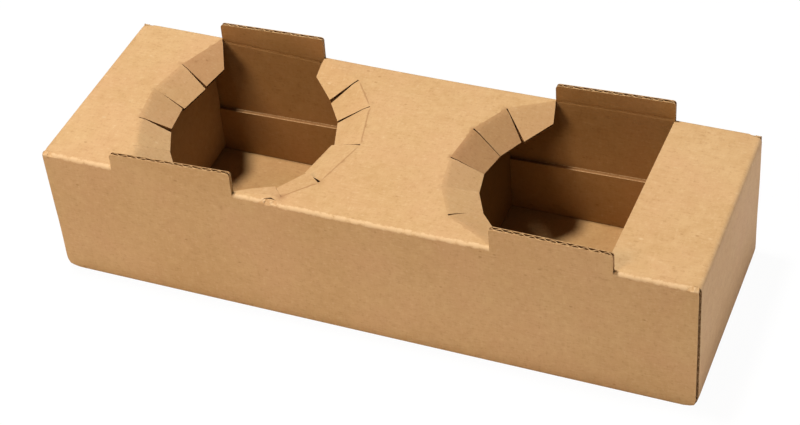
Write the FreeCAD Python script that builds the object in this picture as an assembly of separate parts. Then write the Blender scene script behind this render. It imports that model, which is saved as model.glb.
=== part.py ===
import FreeCAD, Part
import math
import os
from collections import namedtuple

# A carrier for two take-away cups, folded from corrugated kraft board. The origin lies on the
# surface that the carrier stands on, under its middle. X runs along the carrier, Y to its back.

Vector = FreeCAD.Vector

# Overall size of the folded carrier, without the ears
LENGTH = 224.0
DEPTH = 76.0
HEIGHT = 51.0

# The board and its folds
BOARD = 1.6
FOLD_INNER_RADIUS = 0.7
END_FOLD_INNER_RADIUS = 1.1

# Clearances of the cut and folded pieces
SIDE_GAP = 0.45
FOLD_CLEARANCE = 0.05
EAR_GAP = 0.35
SLIT_WIDTH = 0.4
BACK_WALL_LIFT = 0.3

# The glue flap that stands up from the bottom panel inside the back wall
FLAP_HEIGHT_LEFT = 19.5
FLAP_HEIGHT_RIGHT = 24.8
FLAP_END_TAPER = 5.0

# The fluted medium, as it shows in the cut tops of the ears
LINER = 0.25
MEDIUM = 0.22
FLUTE_PITCH = 3.4
FLUTE_DEPTH = 2.0
FLUTE_END_MARGIN = 1.2

# Ears: tongues of the front and back walls that stand up past the top panel. Each has the place
# of its two ends along the carrier and its rise past the top panel at those ends.
Ear = namedtuple("Ear", "wall low high rise_low rise_high")
FRONT_LEFT_EAR = Ear(wall=-1, low=-85.6, high=-42.0, rise_low=5.4, rise_high=7.2)
FRONT_RIGHT_EAR = Ear(wall=-1, low=45.6, high=85.0, rise_low=7.4, rise_high=7.0)
BACK_LEFT_EAR = Ear(wall=1, low=-80.4, high=-41.4, rise_low=6.0, rise_high=7.2)
BACK_RIGHT_EAR = Ear(wall=1, low=42.6, high=83.2, rise_low=5.8, rise_high=7.4)
EAR_CORNER_RADIUS = 0.9

# Partitions that hold the foot of each cup
OUTER_PARTITION = 85.2
INNER_PARTITION = 26.6
PARTITION_CLEARANCE = 0.3

# Hinge lines of the tabs round each cup opening, from the back wall to the front wall. The first
# number is the place along the carrier, and the second is a share of the half depth inside.
LEFT_OUTER_BACK_END = -80.4
LEFT_OUTER_FRONT_END = -79.0
LEFT_OUTER_HINGES = [(-87.7, 0.53), (-91.0, 0.11), (-88.8, -0.32), (-83.8, -0.70)]
LEFT_INNER_HINGES = [(-25.4, 0.80), (-16.2, 0.46), (-11.8, -0.07), (-17.4, -0.65), (-26.4, -0.93)]
RIGHT_INNER_HINGES = [(28.1, 0.78), (21.1, 0.42), (18.9, -0.01), (21.1, -0.40), (27.9, -0.74)]
RIGHT_OPENING_EDGE = 82.5

# Each tab: how far it is pushed down in degrees, and at its two slits its length, as a share of
# the tab length, and how much the slit leans in from square to the hinge line, as a slope.
TAB_LENGTH = 12.0
Tab = namedtuple("Tab", "tilt reach lean")
LEFT_OUTER_TABS = [Tab(20, (0.85, 1.01), (0.83, 0.0)), Tab(26, (1.00, 1.02), (0.29, 0.09)),
                   Tab(28, (0.95, 0.93), (0.24, 0.15)), Tab(35, (0.96, 1.03), (0.06, 0.38)),
                   Tab(33, (1.04, 1.17), (-0.29, 0.70))]
LEFT_INNER_TABS = [Tab(22, (0.57, 0.95), (0.43, 0.24)), Tab(28, (0.99, 1.01), (0.19, 0.18)),
                   Tab(30, (1.03, 0.84), (0.19, 0.59)), Tab(20, (1.03, 0.88), (0.32, 0.51)),
                   Tab(6, (0.60, 0.41), (0.19, 0.01)), Tab(8, (0.42, 0.25), (0.60, 0.0))]
RIGHT_INNER_TABS = [Tab(25, (0.67, 1.08), (0.29, 0.25)), Tab(31, (1.02, 1.04), (0.30, 0.14)),
                    Tab(28, (1.03, 0.98), (0.30, 0.22)), Tab(24, (0.99, 1.01), (0.19, 0.30)),
                    Tab(19, (1.01, 0.99), (0.12, 0.26)), Tab(17, (0.91, 0.59), (0.40, 0.92))]

half_length = LENGTH / 2
half_depth = DEPTH / 2
wall_inside = half_depth - BOARD
flap_inside = half_depth - 2 * BOARD
fold_radius = FOLD_INNER_RADIUS + BOARD / 2
fold_outer_radius = FOLD_INNER_RADIUS + BOARD
end_fold_radius = END_FOLD_INNER_RADIUS + BOARD / 2
end_fold_outer_radius = END_FOLD_INNER_RADIUS + BOARD
flap_fold_start = flap_inside - FOLD_INNER_RADIUS
flap_end = half_length - BOARD - 2 * SIDE_GAP
insert_front = wall_inside - FOLD_INNER_RADIUS - FOLD_CLEARANCE
insert_back = flap_inside - FOLD_INNER_RADIUS - FOLD_CLEARANCE

# The partitions end below the lowest tab
tab_drops = [max(tab.reach) * TAB_LENGTH * math.sin(math.radians(tab.tilt))
             + BOARD * math.cos(math.radians(tab.tilt))
             for tab in LEFT_OUTER_TABS + LEFT_INNER_TABS + RIGHT_INNER_TABS]
partition_top = HEIGHT - max(tab_drops) - PARTITION_CLEARANCE

# Pieces of one sheet that are modelled apart run into each other by this much
OVERLAP = 0.05


def strip_side(points, radius, side, place):
    """Edges of one face of a folded strip that follows the points, with its folds as arcs."""
    edges = []
    directions = [(b - a).normalize() for a, b in zip(points, points[1:])]
    normals = [Vector(-d.y, d.x, 0) for d in directions]
    first = points[0] + normals[0] * side
    here = first
    for corner, d_in, d_out, n_in, n_out in zip(points[1:-1], directions, directions[1:],
                                                normals, normals[1:]):
        turn = d_in.getAngle(d_out)
        hand = 1 if d_in.x * d_out.y - d_in.y * d_out.x > 0 else -1
        reach = radius * math.tan(turn / 2)
        centre = corner - d_in * reach + n_in * (radius * hand)
        outwards = (corner - centre).normalize()
        arc_start = corner - d_in * reach + n_in * side
        arc_middle = centre + outwards * (radius - side * hand)
        arc_end = corner + d_out * reach + n_out * side
        edges.append(Part.LineSegment(place(here), place(arc_start)).toShape())
        edges.append(Part.Arc(place(arc_start), place(arc_middle), place(arc_end)).toShape())
        here = arc_end
    last = points[-1] + normals[-1] * side
    edges.append(Part.LineSegment(place(here), place(last)).toShape())
    return edges, first, last


def folded_strip(points, radius, place, sweep):
    """A strip of board folded along the middle-line points and swept along its width."""
    upper, upper_first, upper_last = strip_side(points, radius, BOARD / 2, place)
    lower, lower_first, lower_last = strip_side(points, radius, -BOARD / 2, place)
    ends = [Part.LineSegment(place(upper_first), place(lower_first)).toShape(),
            Part.LineSegment(place(upper_last), place(lower_last)).toShape()]
    outline = Part.Wire(Part.__sortEdges__(upper + lower + ends))
    return Part.Face(outline).extrude(sweep)


def plate(corners, sweep):
    """A flat plate with the given corners, swept through its thickness."""
    return Part.Face(Part.makePolygon(corners + corners[:1])).extrude(sweep)


def box(low, high):
    return Part.makeBox(high[0] - low[0], high[1] - low[1], high[2] - low[2], Vector(*low))


def make_wrap():
    """Bottom, front, top and back panels, folded round from one sheet."""
    middle = half_depth - BOARD / 2
    top = HEIGHT - BOARD / 2
    path = [Vector(flap_fold_start, BOARD / 2), Vector(-middle, BOARD / 2), Vector(-middle, top),
            Vector(middle, top), Vector(middle, BACK_WALL_LIFT)]
    return folded_strip(path, fold_radius, lambda p: Vector(-half_length, p.x, p.y),
                        Vector(LENGTH, 0, 0))


def make_glue_flap():
    """The flap that turns up from the bottom panel; its top edge rises a little to the right."""
    middle = half_depth - 1.5 * BOARD
    foot = BOARD + FOLD_INNER_RADIUS
    fold = folded_strip([Vector(flap_fold_start - OVERLAP, BOARD / 2), Vector(middle, BOARD / 2),
                         Vector(middle, foot + OVERLAP)],
                        fold_radius, lambda p: Vector(-flap_end, p.x, p.y), Vector(2 * flap_end, 0, 0))
    corners = [Vector(-flap_end, flap_inside, foot), Vector(flap_end, flap_inside, foot),
               Vector(flap_end - FLAP_END_TAPER, flap_inside, FLAP_HEIGHT_RIGHT),
               Vector(-flap_end + FLAP_END_TAPER, flap_inside, FLAP_HEIGHT_LEFT)]
    return fold.fuse(plate(corners, Vector(0, BOARD, 0)))


def make_end(side):
    """End panel that hangs from the top panel, turns in on the floor and stands up as a partition."""
    top = HEIGHT - BOARD / 2
    floor = 1.5 * BOARD
    lower_fold_top = BOARD + end_fold_outer_radius
    outer = side * (half_length - BOARD / 2)
    start = side * (half_length - end_fold_outer_radius - OVERLAP)
    inner = side * (OUTER_PARTITION + BOARD / 2)
    reach = wall_inside - SIDE_GAP
    panel = folded_strip([Vector(start, top), Vector(outer, top), Vector(outer, lower_fold_top)],
                         end_fold_radius, lambda p: Vector(p.x, -reach, p.y), Vector(0, 2 * reach, 0))
    partition = folded_strip([Vector(outer, lower_fold_top + OVERLAP), Vector(outer, floor),
                              Vector(inner, floor), Vector(inner, partition_top)],
                             end_fold_radius, lambda p: Vector(p.x, -insert_front, p.y),
                             Vector(0, insert_front + insert_back, 0))
    return [panel, partition]


def hinge_row(back_end, row, front_end):
    """Corner points of a row of hinge lines on the top face, from the back wall to the front wall."""
    whole_row = [(back_end, 1.0)] + row + [(front_end, -1.0)]
    return [Vector(x, share * wall_inside, HEIGHT) for x, share in whole_row]


def make_tab(first, second, cup_side, tab):
    """One tab of the top panel between two slits, pushed down about its hinge line."""
    along = (second - first).normalize()
    inwards = Vector(-along.y, along.x, 0)
    if inwards.x * cup_side < 0:
        inwards = inwards * -1
    start = first + along * (SLIT_WIDTH / 2)
    end = second - along * (SLIT_WIDTH / 2)
    low_reach, high_reach = (share * TAB_LENGTH for share in tab.reach)
    corners = [start, end, end + inwards * high_reach - along * (high_reach * tab.lean[1]),
               start + inwards * low_reach + along * (low_reach * tab.lean[0])]
    made = plate(corners, Vector(0, 0, -BOARD))
    made.rotate(first, along, tab.tilt if along.cross(inwards).z < 0 else -tab.tilt)
    return made


def make_tabs(points, cup_side, tabs):
    return [make_tab(first, second, cup_side, tab)
            for first, second, tab in zip(points, points[1:], tabs)]


def make_opening(outline):
    """Solid that cuts a cup opening, as far as the hinge lines, through the top panel."""
    corners = [Vector(p.x, p.y, HEIGHT - 2 * BOARD) for p in outline]
    return plate(corners, Vector(0, 0, 3 * BOARD))


def make_ear(ear):
    """An ear with its two free corners rounded, continuing the plane of its wall."""
    foot = HEIGHT - fold_outer_radius - OVERLAP
    path = [Vector(ear.low, foot), Vector(ear.low, HEIGHT + ear.rise_low),
            Vector(ear.high, HEIGHT + ear.rise_high), Vector(ear.high, foot)]
    near = min(ear.wall * wall_inside, ear.wall * half_depth)
    edges, first, last = strip_side(path, EAR_CORNER_RADIUS, 0, lambda p: Vector(p.x, near, p.y))
    edges.append(Part.LineSegment(Vector(last.x, near, last.y), Vector(first.x, near, first.y)).toShape())
    return Part.Face(Part.Wire(Part.__sortEdges__(edges))).extrude(Vector(0, BOARD, 0))


def flute_voids(ear):
    """The open ends of the flutes in an ear's cut top, on both sides of the medium in turn."""
    voids = []
    half_pitch = FLUTE_PITCH / 2
    count = int((ear.high - ear.low - 2 * FLUTE_END_MARGIN) / half_pitch) - 1
    start = (ear.low + ear.high) / 2 - (count - 1) * half_pitch / 2
    middle = ear.wall * (half_depth - BOARD / 2)
    room = BOARD / 2 - LINER
    for k in range(count):
        x = start + k * half_pitch
        share = (x - ear.low) / (ear.high - ear.low)
        bottom = HEIGHT + ear.rise_low + (ear.rise_high - ear.rise_low) * share - FLUTE_DEPTH
        side = 1 if k % 2 else -1
        base, tip = middle + side * room, middle - side * (room - MEDIUM)
        foot_reach = half_pitch - MEDIUM
        corners = [Vector(x - foot_reach, base, bottom), Vector(x + foot_reach, base, bottom),
                   Vector(x, tip, bottom)]
        voids.append(plate(corners, Vector(0, 0, 2 * FLUTE_DEPTH)))
    return voids


def make_carrier():
    ears = [FRONT_LEFT_EAR, FRONT_RIGHT_EAR, BACK_LEFT_EAR, BACK_RIGHT_EAR]
    left_outer = hinge_row(LEFT_OUTER_BACK_END, LEFT_OUTER_HINGES, LEFT_OUTER_FRONT_END)
    left_inner = hinge_row(BACK_LEFT_EAR.high, LEFT_INNER_HINGES, FRONT_LEFT_EAR.high)
    right_inner = hinge_row(BACK_RIGHT_EAR.low, RIGHT_INNER_HINGES, FRONT_RIGHT_EAR.low)
    right_edge = [Vector(RIGHT_OPENING_EDGE, -wall_inside, HEIGHT),
                  Vector(RIGHT_OPENING_EDGE, wall_inside, HEIGHT)]

    cuts = [make_opening(left_outer + left_inner[::-1]), make_opening(right_inner + right_edge)]
    for ear in ears:
        near, far = sorted((ear.wall * (wall_inside - EAR_GAP), ear.wall * (half_depth + BOARD)))
        cuts.append(box((ear.low, near, HEIGHT - fold_outer_radius), (ear.high, far, HEIGHT + BOARD)))
    for side in (-1, 1):
        near, far = sorted((side * (half_length - end_fold_outer_radius), side * (half_length + BOARD)))
        cuts.append(box((near, -wall_inside, HEIGHT - 2 * BOARD), (far, wall_inside, HEIGHT + BOARD)))
    wrap = make_wrap().cut(cuts)

    pieces = [make_glue_flap()] + make_end(-1) + make_end(1)
    pieces += [make_ear(ear).cut(flute_voids(ear)) for ear in ears]
    pieces += make_tabs(left_outer, 1, LEFT_OUTER_TABS)
    pieces += make_tabs(left_inner, -1, LEFT_INNER_TABS)
    pieces += make_tabs(right_inner, 1, RIGHT_INNER_TABS)
    return wrap.fuse(pieces).removeSplitter()


def make_divider():
    """A strip folded to a U, whose legs are the two partitions between the cups."""
    leg = INNER_PARTITION - BOARD / 2
    floor = 1.5 * BOARD
    path = [Vector(-leg, partition_top), Vector(-leg, floor), Vector(leg, floor),
            Vector(leg, partition_top)]
    return folded_strip(path, fold_radius, lambda p: Vector(p.x, -insert_front, p.y),
                        Vector(0, insert_front + insert_back, 0))


def main():
    os.makedirs("parts", exist_ok=True)
    for name, shape in (("carrier", make_carrier()), ("divider", make_divider())):
        print(name, "solids", len(shape.Solids), "valid", shape.isValid(),
              "volume", round(shape.Volume, 1))
        shape.exportStep("parts/" + name + ".step")


main()
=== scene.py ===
import math
from collections import namedtuple

import bmesh
import bpy
import numpy as np
from mathutils import Matrix, Vector
from mathutils.geometry import delaunay_2d_cdt


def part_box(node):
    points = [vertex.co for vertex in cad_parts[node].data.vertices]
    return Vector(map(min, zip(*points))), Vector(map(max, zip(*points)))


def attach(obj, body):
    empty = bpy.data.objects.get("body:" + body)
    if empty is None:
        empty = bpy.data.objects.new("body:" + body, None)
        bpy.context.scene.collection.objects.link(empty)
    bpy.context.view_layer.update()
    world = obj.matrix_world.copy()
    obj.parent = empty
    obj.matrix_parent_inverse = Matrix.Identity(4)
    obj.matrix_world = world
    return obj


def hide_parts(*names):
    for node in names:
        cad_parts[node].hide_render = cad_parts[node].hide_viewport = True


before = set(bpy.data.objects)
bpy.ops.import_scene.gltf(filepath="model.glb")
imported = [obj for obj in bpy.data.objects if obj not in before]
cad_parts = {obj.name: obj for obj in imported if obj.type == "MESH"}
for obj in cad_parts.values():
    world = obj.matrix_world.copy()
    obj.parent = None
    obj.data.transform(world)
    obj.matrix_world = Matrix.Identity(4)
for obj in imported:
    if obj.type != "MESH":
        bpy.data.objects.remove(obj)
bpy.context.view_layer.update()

# A carrier for two take-away cups, folded from corrugated kraft board. Sizes are in millimetres
# and become metres when a mesh is written. X runs along the carrier and Y to its back.
MM = 0.001

# Overall size, from the frame, and the height of the folded box. The ears stand up past it.
_, carrier_high = (np.array(corner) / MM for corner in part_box("carrier"))
divider_low, divider_high = (np.array(corner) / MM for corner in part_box("divider"))
half_length, half_depth = carrier_high[0], carrier_high[1]
HEIGHT = 51.0

# The board: two liners with a fluted medium between them
BOARD = 1.6
LINER = 0.3
MEDIUM = 0.3
FLUTE_PITCH = 3.4

# How deep a cut edge is open between its liners: where it crosses the flutes, where it runs along
# them and where it is crushed. The edge of the medium lies a little behind those of the liners.
FLUTE_DEPTH_SHOWN = 1.6
CUT_EDGE_RECESS = 0.3
CRUSHED_EDGE_RECESS = 0.12
MEDIUM_RECESS = 0.10

# Folds: the radius of the board's middle line, the thickness left inside of it, where the board is
# crushed, and how far before the fold that starts
FOLD_RADIUS = 0.45
END_FOLD_RADIUS = 0.6
FOLD_THICKNESS_INSIDE = 0.3
FOLD_RUN_IN = 0.45

# Gaps: beside the end panels, behind the ears and under the back wall. The walls and the bottom
# stop short of the end panels, and the corners of the walls' folds are trimmed there.
SIDE_GAP = 0.12
EAR_GAP = 0.14
BACK_WALL_LIFT = 0.3
WALL_SHORT = 0.45
BOTTOM_SHORT = 0.7
CORNER_TRIM = 0.6
TRIM_CURVE = 0.35

# The glue flap inside the back wall
FLAP_HEIGHT_LEFT = 19.5
FLAP_HEIGHT_RIGHT = 24.8
FLAP_END_TAPER = 5.0
FLAP_SIDE_GAP = 2.5

# Ears: front or back, the place of the two ends, their rise past the top panel there, how far the
# ear leans out at a height over its seam, and the height of the score line at the two ends
Ear = namedtuple("Ear", "sign low high rises lean scores")
FRONT_LEFT_EAR = Ear(-1, low=-85.6, high=-42.0, rises=(5.4, 7.2), lean=0.3, scores=(50.5, 49.5))
FRONT_RIGHT_EAR = Ear(-1, low=45.6, high=85.0, rises=(7.4, 7.0), lean=-0.2, scores=(50.0, 50.5))
BACK_LEFT_EAR = Ear(1, low=-80.4, high=-41.4, rises=(6.0, 7.2), lean=0.4, scores=(50.3, 49.1))
BACK_RIGHT_EAR = Ear(1, low=42.6, high=83.2, rises=(5.8, 7.4), lean=0.2, scores=(51.2, 51.8))
EARS = [FRONT_LEFT_EAR, FRONT_RIGHT_EAR, BACK_LEFT_EAR, BACK_RIGHT_EAR]
LEAN_HEIGHT = 10.0
SCORE_DEPTH = 0.25
SCORE_WIDTH = 0.3
EAR_CORNER_RADIUS = 0.9
EAR_CORNER_CURVE = 0.3

# Partitions that hold the foot of each cup. The divider's left leg leans in at its top, and the
# divider ends before the flap.
OUTER_PARTITION = 85.2
PARTITION_HALF_WIDTH = 35.6
DIVIDER_LEAN = 3.0
DIVIDER_GAP = 0.9

# Hinge lines of the tabs round each cup opening, from the back wall to the front wall. The first
# number is the place along the carrier, and the second is a share of the half depth inside. The
# rows start and end at the ends of ears, apart from one.
LEFT_OUTER_FRONT_END = -79.0
LEFT_OUTER_HINGES = [(-87.7, 0.53), (-91.0, 0.11), (-88.8, -0.32), (-83.8, -0.70)]
LEFT_INNER_HINGES = [(-25.4, 0.80), (-16.2, 0.46), (-11.8, -0.07), (-17.4, -0.65), (-26.4, -0.93)]
RIGHT_INNER_HINGES = [(28.1, 0.78), (21.1, 0.42), (18.9, -0.01), (21.1, -0.40), (27.9, -0.74)]
RIGHT_OPENING_EDGE = 82.5
RIGHT_EDGE_SLANT = 0.5

# Each tab: how far it is pushed down in degrees, and at its two slits its length, as a share of
# the tab length, and how much the slit leans in from square to the hinge line, as a slope. Then
# how much painted shade darkens its paper, strongest on the tabs that face away from the key
# lamp, and how far it has parted from its two slits.
TAB_LENGTH = 12.0
Tab = namedtuple("Tab", "tilt reach lean rubbed parted")
LEFT_OUTER_TABS = [
    Tab(20, (0.85, 1.01), (0.830, 0.008), 0.75, (0.07, 0.11)),
    Tab(26, (1.00, 1.02), (0.188, 0.097), 0.3, (0.11, 0.03)),
    Tab(28, (0.95, 0.93), (0.257, 0.138), 0.4, (0.03, 0.12)),
    Tab(34, (0.96, 1.03), (0.068, 0.364), 0.0, (0.12, 0.03)),
    Tab(33, (1.04, 1.17), (-0.296, 0.700), 0.1, (0.03, 0.07)),
]
LEFT_INNER_TABS = [
    Tab(22, (0.57, 0.95), (0.430, 0.266), 0.0, (0.07, 0.27)),
    Tab(28, (0.99, 1.01), (0.216, 0.208), 0.0, (0.27, 0.20)),
    Tab(30, (1.03, 0.92), (0.188, 0.427), 0.0, (0.20, 0.25)),
    Tab(24, (1.03, 0.88), (0.067, 0.364), 0.0, (0.25, 0.55)),
    Tab(6, (0.60, 0.41), (0.034, 0.038), 0.1, (0.50, 0.07)),
    Tab(8, (0.42, 0.20), (0.668, 2.000), 0.15, (0.07, 0.07)),
]
RIGHT_INNER_TABS = [
    Tab(25, (0.67, 1.08), (0.290, 0.260), 0.4, (0.07, 0.22)),
    Tab(31, (1.02, 1.04), (0.300, 0.089), 0.75, (0.22, 0.28)),
    Tab(28, (1.03, 0.98), (0.249, 0.163), 0.9, (0.28, 0.24)),
    Tab(24, (0.99, 1.01), (0.133, 0.253), 0.3, (0.20, 0.04)),
    Tab(19, (1.01, 0.99), (0.103, 0.198), 0.25, (0.04, 0.36)),
    Tab(17, (0.91, 0.59), (0.338, 0.920), 0.35, (0.36, 0.07)),
]
HINGE_BEND = 1.2

# A tear in the outer fold, in front of the left opening
TEAR_START = (-31.4, -37.0)
TEAR_MIDDLE = (-29.2, -35.9)
TEAR_END = (-27.2, -36.1)
TEAR_WIDTH = 0.55

# How the box has settled with use: the sag of its top, and the low waves of its panels
TOP_SAG_FRONT = 1.35
TOP_SAG_BACK = 0.8
SAG_START = -95.0
SAG_END = 88.0
WALL_WAVES = 0.16
WALL_WAVELENGTH = 60.0
END_WAVELENGTH = 45.0
TOP_WAVES = 0.14
TOP_WAVELENGTH = 38.0
TOP_HELD_NEAR_EDGE = 8.0
WAVE_COUNT = 6
WAVE_SPREAD = (0.7, 1.5)

# Crushed corners, and a ridge and a hollow beside the tear
Dent = namedtuple("Dent", "place reach push")
DENTS = [Dent((-112.0, -38.0, 0.0), 2.6, (0.9, 0.4, 0.7)),
         Dent((112.0, -38.0, 0.0), 2.2, (-1.0, 0.5, 0.8)),
         Dent((112.0, 38.0, 0.0), 2.4, (-0.5, -0.4, 0.4)),
         Dent((112.0, -38.0, 51.0), 2.0, (-0.5, 0.3, -0.5)),
         Dent((-30.5, -36.0, 50.5), 2.2, (0.0, 0.0, 0.45)),
         Dent((-24.0, -36.5, 50.5), 2.6, (0.0, 0.0, -0.35))]

# Scuffs of the folds, painted highlights along the scores and the top of the flap, and painted shade along
# creases: how strong and how wide
FOLD_WEAR = 0.38
FRONT_FOLD_WEAR = 0.74
FOLD_WEAR_WIDTH = 0.6
END_FOLD_WEAR = 0.35
END_FOLD_WEAR_WIDTH = 0.75
FLAP_PAINTED_HIGHLIGHT = 0.35
FLAP_HIGHLIGHT_WIDTH = 4.0
SCORE_PAINTED_HIGHLIGHT = 0.6
HINGE_PAINTED_SHADE = 0.85
PAINTED_LINE_WIDTH = 0.2
HINGE_SHADE_START = 1.5

# Mesh steps, and how close points may come to each other
FINE_STEP = 2.2
COARSE_STEP = 5.0
CUT_STEP = 0.8
EAR_STEP = 1.0
FLUTE_STEP = 0.28
FOLD_STEPS = 6
DIVIDER_ROWS = 30
SCORE_ROWS = np.arange(48.8, 52.6, 0.3)
HINGE_ROWS = (-0.3, 0.0, 0.3 * HINGE_BEND, 0.65 * HINGE_BEND, HINGE_BEND)
HINGE_ROW_INSET = 0.02
SEAM_LENGTH = 1.3
FINE_MARGIN = 3.0
COARSE_MARGIN = 2.0
GRID_CLEARANCE = 0.28
STATION_CLEARANCE = 0.15
ON_LINE = 0.02
MERGE_DISTANCE = 0.004
SLIVER = 1e-6
TINY = 1e-12
SHARP_ANGLE = 38

# An edge crosses the flutes if this much of its direction does. The corners of a rim's channel are
# kept from reaching too far.
ACROSS_FLUTES = 0.3
MITRE_LEAST = 0.4
MITRE_MOST = 2.0

# Material slots of a piece of board
LINER_FACE = 0
CORE = 1
CUT_PAPER = 2
INNER_FACE = 3

wall_inside = half_depth - BOARD
wall_middle = half_depth - BOARD / 2
flap_middle = half_depth - 1.5 * BOARD
notch_inside = wall_inside - EAR_GAP
wall_top = HEIGHT - (FOLD_RADIUS + BOARD / 2) - SEAM_LENGTH
end_seam = half_length - (END_FOLD_RADIUS + BOARD / 2) - SEAM_LENGTH
flap_end = half_length - FLAP_SIDE_GAP
wall_end = half_length - WALL_SHORT
trim_end = wall_end - CORNER_TRIM
bottom_end = half_length - BOTTOM_SHORT
flap_slope = FLAP_HEIGHT_RIGHT - FLAP_HEIGHT_LEFT


def unit(v):
    return v / max(np.linalg.norm(v), 1e-9)


def turned_left(v):
    return np.array([-v[1], v[0]])


def spaced(low, high, step):
    """Evenly spaced values from low to high, no more than a step apart."""
    return np.linspace(low, high, max(1, math.ceil((high - low) / step)) + 1)


def bell(distance, strength, width):
    """The strength at no distance, falling off over about the width."""
    return strength * np.exp(-(distance / width) ** 2)


def fold_marks(low, high):
    """Distances of the rows of points through a fold and the run in to it."""
    return [low - FOLD_RUN_IN, low - FOLD_RUN_IN / 2] + list(np.linspace(low, high, FOLD_STEPS + 1)) + [
        high + FOLD_RUN_IN / 2, high + FOLD_RUN_IN]


class FoldedPath:
    """Middle line of a strip of board with rounded folds, measured along its length."""

    def __init__(self, corners, radius):
        corners = [np.array(c, float) for c in corners]
        self.folds, runs = [], []
        here, at = corners[0], 0.0
        for k in range(1, len(corners)):
            direction = unit(corners[k] - corners[k - 1])
            heading = math.atan2(direction[1], direction[0])
            end, turn = corners[k], 0.0
            if k < len(corners) - 1:
                onward = unit(corners[k + 1] - corners[k])
                turn = math.atan2(direction[0] * onward[1] - direction[1] * onward[0], direction @ onward)
                reach = radius * math.tan(abs(turn) / 2)
                end = corners[k] - direction * reach
            runs.append((at, *here, heading, 0.0))
            at += np.linalg.norm(end - here)
            if turn:
                runs.append((at, *end, heading, math.copysign(1 / radius, turn)))
                self.folds.append((at, at + radius * abs(turn)))
                at += radius * abs(turn)
                here = corners[k] + onward * reach
        self.runs, self.length = np.array(runs), at

    def place(self, distance):
        """Coordinates of the points at these distances along the path."""
        k = np.clip(np.searchsorted(self.runs[:, 0], distance, side="right") - 1, 0, len(self.runs) - 1)
        start, x, y, heading, bend = self.runs[k].T
        run = distance - start
        straight = bend == 0
        safe = np.where(straight, 1.0, bend)
        angle = heading + bend * run
        along_x = np.where(straight, run * np.cos(heading), (np.sin(angle) - np.sin(heading)) / safe)
        along_y = np.where(straight, run * np.sin(heading), (np.cos(heading) - np.cos(angle)) / safe)
        return x + along_x, y + along_y

    def stations(self, step):
        """Distances along the path for rows of points, closer together in the folds."""
        marks = [0.0]
        for low, high in self.folds:
            low, high = low - FOLD_RUN_IN, high + FOLD_RUN_IN
            marks += list(spaced(marks[-1], low, step)[1:])
            marks += fold_marks(low + FOLD_RUN_IN, high - FOLD_RUN_IN)[1:]
        marks += list(spaced(marks[-1], self.length, step)[1:])
        return np.array(marks)


# The blank wraps from the glue flap over the bottom, front and top to the back
wrap_path = FoldedPath([(flap_middle, FLAP_HEIGHT_RIGHT), (flap_middle, BOARD / 2),
                        (-wall_middle, BOARD / 2), (-wall_middle, HEIGHT - BOARD / 2),
                        (wall_middle, HEIGHT - BOARD / 2), (wall_middle, BACK_WALL_LIFT)], FOLD_RADIUS)
flap_fold, front_foot_fold, front_top_fold, back_top_fold = wrap_path.folds
front_seam = front_top_fold[0] - SEAM_LENGTH
back_seam = back_top_fold[1] + SEAM_LENGTH


def on_top(y):
    """Distance along the wrap of a place on the top panel."""
    return front_top_fold[1] + y + wall_middle - FOLD_RADIUS


panel_front, panel_back = on_top(-wall_inside), on_top(wall_inside)
notch_front, notch_back = on_top(-notch_inside), on_top(notch_inside)


def plane_waves(points, wavelength, seed):
    """Smooth random values near -1 to 1 that vary over about the wavelength."""
    chance = np.random.default_rng(seed)
    total = np.zeros(len(points))
    for _ in range(WAVE_COUNT):
        direction = chance.normal(size=3)
        direction /= np.linalg.norm(direction)
        size = wavelength * chance.uniform(*WAVE_SPREAD)
        total += np.sin(points @ direction * (2 * math.pi / size) + chance.uniform(0, 2 * math.pi))
    return total / (WAVE_COUNT / 2)


def sag_at(x, y):
    """How far the top of the box has sunk between its ends."""
    across = np.clip((x - SAG_START) / (SAG_END - SAG_START), 0, 1)
    back = np.clip((y + half_depth) / (2 * half_depth), 0, 1)
    return (TOP_SAG_FRONT * (1 - back) + TOP_SAG_BACK * back) * np.sin(math.pi * across) ** 2


def settle(points):
    """Moves points on the exact box to where its worn board lies."""
    x, y, z = points.T
    moved = points.copy()
    height = np.clip(z / HEIGHT, 0, 1)
    moved[:, 2] -= sag_at(x, y) * height ** 3
    rise = np.sin(math.pi * height)
    on_wall = np.clip(np.abs(y) / half_depth, 0, 1) ** 8
    on_end = np.clip(np.abs(x) / half_length, 0, 1) ** 12
    moved[:, 1] += on_wall * rise * WALL_WAVES * plane_waves(points, WALL_WAVELENGTH, seed=3)
    moved[:, 0] += on_end * rise * WALL_WAVES * plane_waves(points, END_WAVELENGTH, seed=4)
    from_walls = np.clip((half_depth - np.abs(y)) / TOP_HELD_NEAR_EDGE, 0, 1)
    from_ends = np.clip((half_length - np.abs(x)) / TOP_HELD_NEAR_EDGE, 0, 1)
    free = from_walls * from_ends * height ** 6
    moved[:, 2] += free * TOP_WAVES * plane_waves(points, TOP_WAVELENGTH, seed=5)
    for dent in DENTS:
        near = np.exp(-(np.linalg.norm(points - dent.place, axis=1) / dent.reach) ** 2)
        moved += near[:, None] * np.array(dent.push)
    return moved


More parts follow.
